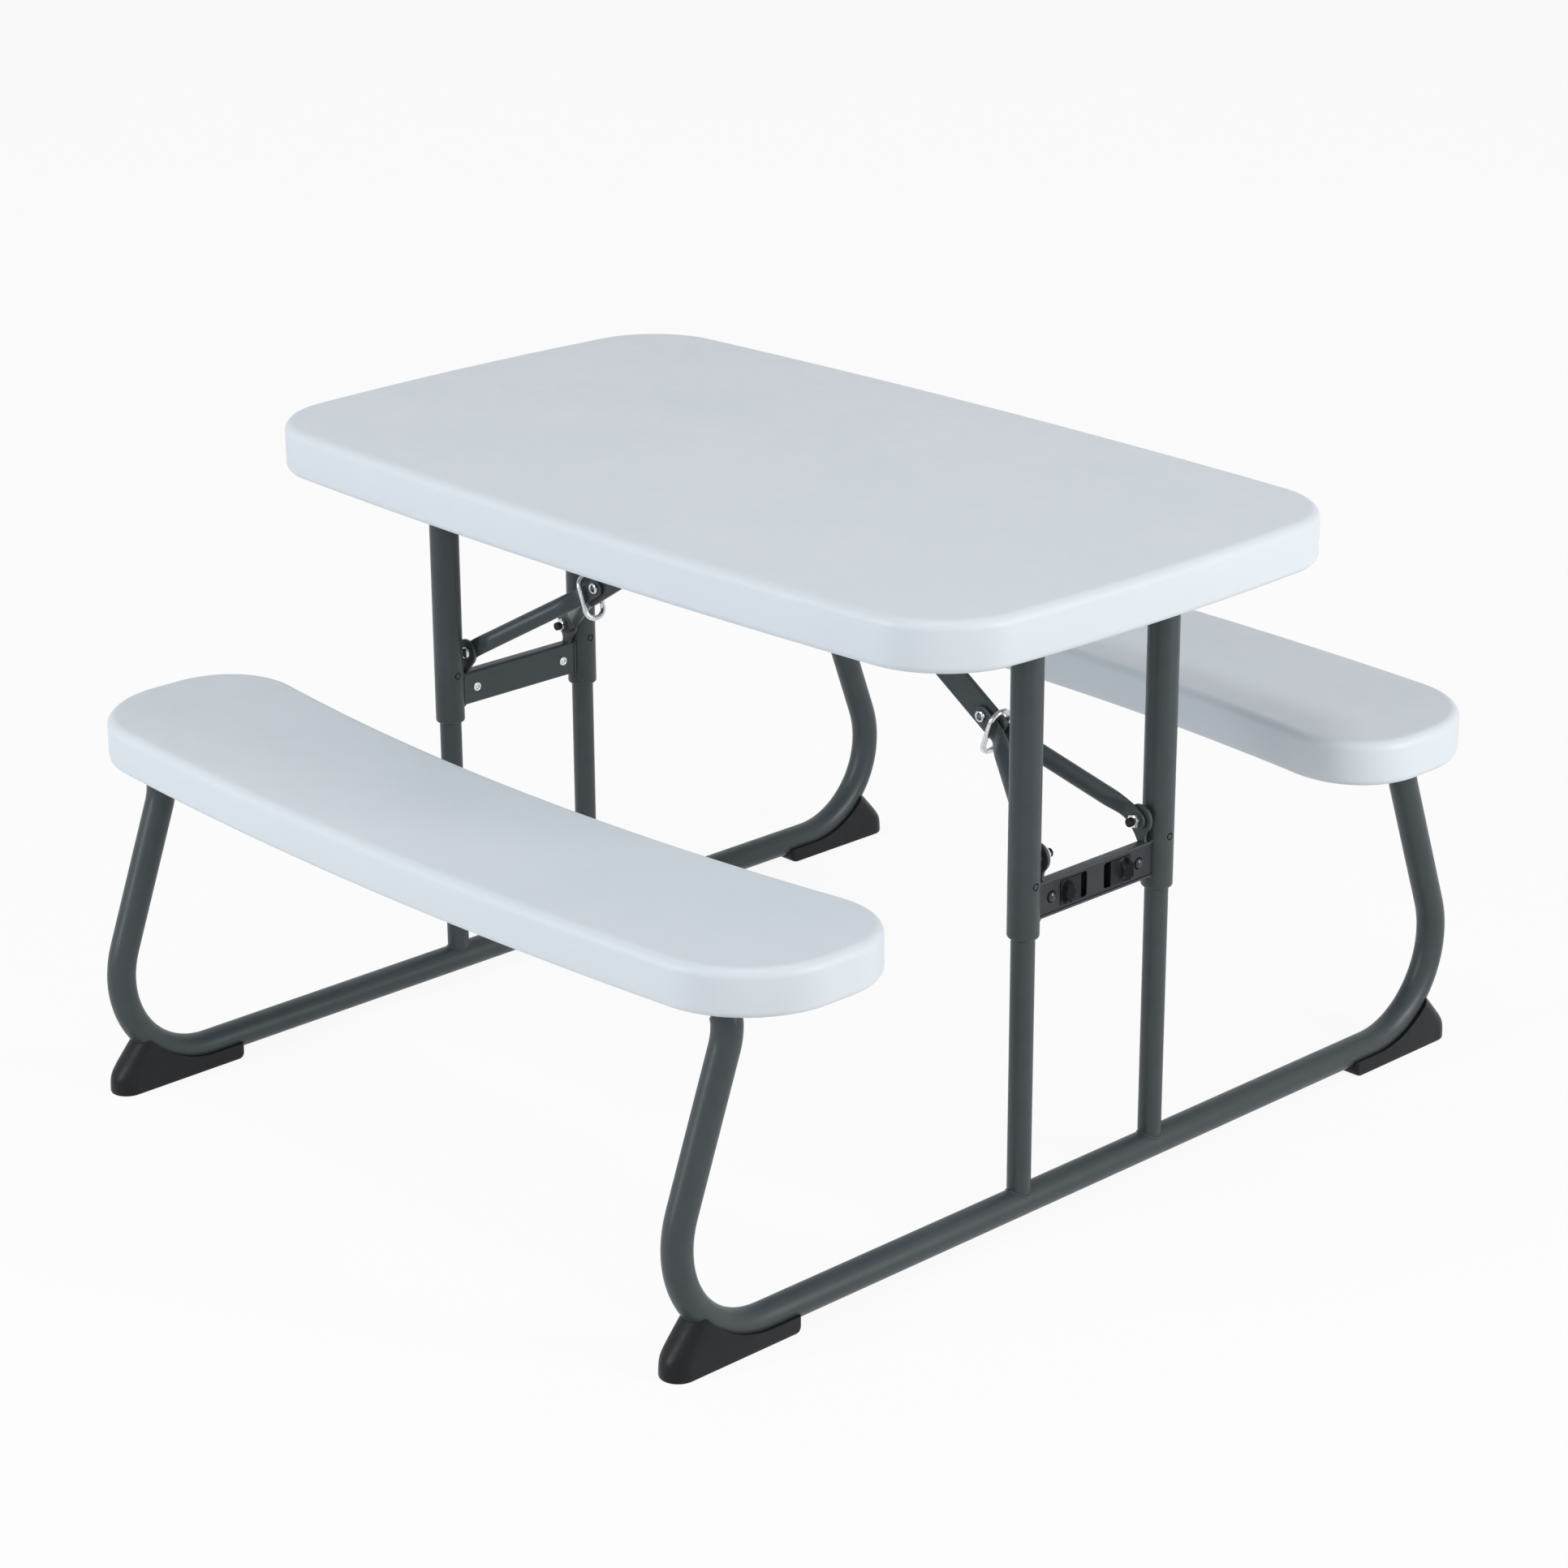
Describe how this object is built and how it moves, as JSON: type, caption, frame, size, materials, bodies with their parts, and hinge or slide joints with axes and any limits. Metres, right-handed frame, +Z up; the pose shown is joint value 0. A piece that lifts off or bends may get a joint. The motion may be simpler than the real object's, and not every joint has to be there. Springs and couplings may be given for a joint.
{
  "type": "folding children's picnic table",
  "caption": "Folding children's picnic table: white moulded top and two curved benches on a grey steel tube frame that telescopes and folds flat.",
  "frame": {"origin": "on the floor, under the middle of the tabletop", "axes": "+Z up, X along the tabletop's length with the picture's near end at +X, Y across the benches"},
  "size_m": [0.829, 0.9012, 0.533],
  "materials": {
    "white_plastic": "satin moulded polyethylene",
    "grey_coat": "semi-gloss powder coat",
    "black_plastic": "satin moulded plastic",
    "charcoal_plastic": "satin moulded plastic",
    "zinc_steel": "zinc plated"
  },
  "bodies": {
    "tabletop": {"tabletop": "white_plastic", "hinge_saddle_front_left": "grey_coat", "hinge_saddle_front_right": "grey_coat", "brace_anchor_front": "grey_coat", "hinge_saddle_rear_left": "grey_coat", "hinge_saddle_rear_right": "grey_coat", "brace_anchor_rear": "grey_coat"},
    "leg_frame_front": {"hinge_tube_front": "grey_coat", "upper_leg_front_left": "grey_coat", "upper_leg_front_right": "grey_coat", "crossbar_front": "grey_coat", "latch_housing_front": "charcoal_plastic", "brace_bolt_front_left": "zinc_steel", "brace_bolt_front_right": "zinc_steel"},
    "base_front": {"base_tube_front": "grey_coat", "lower_leg_front_left": "grey_coat", "lower_leg_front_right": "grey_coat", "foot_front_left": "black_plastic", "foot_front_right": "black_plastic", "bench_bolt_front_left": "zinc_steel", "bench_bolt_front_right": "zinc_steel"},
    "brace_link_front": {"brace_link_front": "grey_coat"},
    "brace_arms_front": {"brace_arm_front_left": "grey_coat", "brace_arm_front_right": "grey_coat", "brace_nut_front_left": "zinc_steel", "brace_nut_front_right": "zinc_steel", "knee_rivet_front": "zinc_steel"},
    "lock_ring_front": {"lock_ring_front": "zinc_steel"},
    "latch_grip_front_left": {"latch_grip_front_left": "black_plastic"},
    "latch_grip_front_right": {"latch_grip_front_right": "black_plastic"},
    "leg_frame_rear": {"hinge_tube_rear": "grey_coat", "upper_leg_rear_left": "grey_coat", "upper_leg_rear_right": "grey_coat", "crossbar_rear": "grey_coat", "latch_housing_rear": "charcoal_plastic", "brace_bolt_rear_left": "zinc_steel", "brace_bolt_rear_right": "zinc_steel"},
    "base_rear": {"base_tube_rear": "grey_coat", "lower_leg_rear_left": "grey_coat", "lower_leg_rear_right": "grey_coat", "foot_rear_left": "black_plastic", "foot_rear_right": "black_plastic", "bench_bolt_rear_left": "zinc_steel", "bench_bolt_rear_right": "zinc_steel"},
    "brace_link_rear": {"brace_link_rear": "grey_coat"},
    "brace_arms_rear": {"brace_arm_rear_left": "grey_coat", "brace_arm_rear_right": "grey_coat", "brace_nut_rear_left": "zinc_steel", "brace_nut_rear_right": "zinc_steel", "knee_rivet_rear": "zinc_steel"},
    "lock_ring_rear": {"lock_ring_rear": "zinc_steel"},
    "latch_grip_rear_left": {"latch_grip_rear_left": "black_plastic"},
    "latch_grip_rear_right": {"latch_grip_rear_right": "black_plastic"},
    "bench_left": {"bench_left": "white_plastic", "bench_bracket_front_left": "grey_coat", "bench_bracket_rear_left": "grey_coat"},
    "bench_right": {"bench_right": "white_plastic", "bench_bracket_front_right": "grey_coat", "bench_bracket_rear_right": "grey_coat"}
  },
  "joints": [
    {"name": "leg_fold_front", "type": "hinge", "parent": "tabletop", "child": "leg_frame_front", "pos_m": [0.322, 0, 0.488], "axis": [0, 1, 0], "range_deg": [0, 90]},
    {"name": "base_drop_front", "type": "slide", "parent": "leg_frame_front", "child": "base_front", "axis": [0, 0, 1], "range_m": [0, 0.2113]},
    {"name": "brace_link_turn_front", "type": "hinge", "parent": "tabletop", "child": "brace_link_front", "pos_m": [0.047, 0, 0.492], "axis": [0, -1, 0], "range_deg": [0, 33.03]},
    {"name": "brace_arm_turn_front", "type": "hinge", "parent": "brace_link_front", "child": "brace_arms_front", "pos_m": [0.23005, 0, 0.37297], "axis": [0, 1, 0], "range_deg": [0, 169.82]},
    {"name": "lock_ring_slide_front", "type": "slide", "parent": "brace_link_front", "child": "lock_ring_front", "axis": [-0.8383, 0, 0.5451], "range_m": [0, 0.126]},
    {"name": "latch_pinch_front_left", "type": "slide", "parent": "leg_frame_front", "child": "latch_grip_front_left", "axis": [0, 1, 0], "range_m": [0, 0.007], "stiffness_N_per_m": 400, "springref_m": -0.004},
    {"name": "latch_pinch_front_right", "type": "slide", "parent": "leg_frame_front", "child": "latch_grip_front_right", "axis": [0, -1, 0], "range_m": [0, 0.007], "stiffness_N_per_m": 400, "springref_m": -0.004},
    {"name": "leg_fold_rear", "type": "hinge", "parent": "tabletop", "child": "leg_frame_rear", "pos_m": [-0.322, 0, 0.488], "axis": [0, -1, 0], "range_deg": [0, 90]},
    {"name": "base_drop_rear", "type": "slide", "parent": "leg_frame_rear", "child": "base_rear", "axis": [0, 0, 1], "range_m": [0, 0.2113]},
    {"name": "brace_link_turn_rear", "type": "hinge", "parent": "tabletop", "child": "brace_link_rear", "pos_m": [-0.047, 0, 0.492], "axis": [0, 1, 0], "range_deg": [0, 33.03]},
    {"name": "brace_arm_turn_rear", "type": "hinge", "parent": "brace_link_rear", "child": "brace_arms_rear", "pos_m": [-0.23005, 0, 0.37297], "axis": [0, -1, 0], "range_deg": [0, 169.82]},
    {"name": "lock_ring_slide_rear", "type": "slide", "parent": "brace_link_rear", "child": "lock_ring_rear", "axis": [0.8383, 0, 0.5451], "range_m": [0, 0.126]},
    {"name": "latch_pinch_rear_left", "type": "slide", "parent": "leg_frame_rear", "child": "latch_grip_rear_left", "axis": [0, 1, 0], "range_m": [0, 0.007], "stiffness_N_per_m": 400, "springref_m": -0.004},
    {"name": "latch_pinch_rear_right", "type": "slide", "parent": "leg_frame_rear", "child": "latch_grip_rear_right", "axis": [0, -1, 0], "range_m": [0, 0.007], "stiffness_N_per_m": 400, "springref_m": -0.004},
    {"name": "bench_turn_left", "type": "hinge", "parent": "base_front", "child": "bench_left", "pos_m": [0.322, -0.384, 0.2767], "axis": [0, -1, 0], "range_deg": [0, 90]},
    {"name": "bench_turn_right", "type": "hinge", "parent": "base_front", "child": "bench_right", "pos_m": [0.322, 0.384, 0.2767], "axis": [0, -1, 0], "range_deg": [0, 90]}
  ],
  "couplings": [
    {"joint": "base_drop_front", "follows": "leg_fold_front", "m_per_rad": 0.13452},
    {"joint": "brace_link_turn_front", "follows": "leg_fold_front", "ratio": 0.36705},
    {"joint": "brace_arm_turn_front", "follows": "leg_fold_front", "ratio": 1.8869},
    {"joint": "lock_ring_slide_front", "follows": "leg_fold_front", "m_per_rad": 0.080214},
    {"joint": "latch_pinch_front_right", "follows": "latch_pinch_front_left", "ratio": 1},
    {"joint": "leg_fold_rear", "follows": "leg_fold_front", "ratio": 1},
    {"joint": "base_drop_rear", "follows": "leg_fold_front", "m_per_rad": 0.13452},
    {"joint": "brace_link_turn_rear", "follows": "leg_fold_front", "ratio": 0.36705},
    {"joint": "brace_arm_turn_rear", "follows": "leg_fold_front", "ratio": 1.8869},
    {"joint": "lock_ring_slide_rear", "follows": "leg_fold_front", "m_per_rad": 0.080214},
    {"joint": "latch_pinch_rear_right", "follows": "latch_pinch_rear_left", "ratio": 1},
    {"joint": "bench_turn_left", "follows": "leg_fold_front", "ratio": 1},
    {"joint": "bench_turn_right", "follows": "leg_fold_front", "ratio": 1}
  ]
}
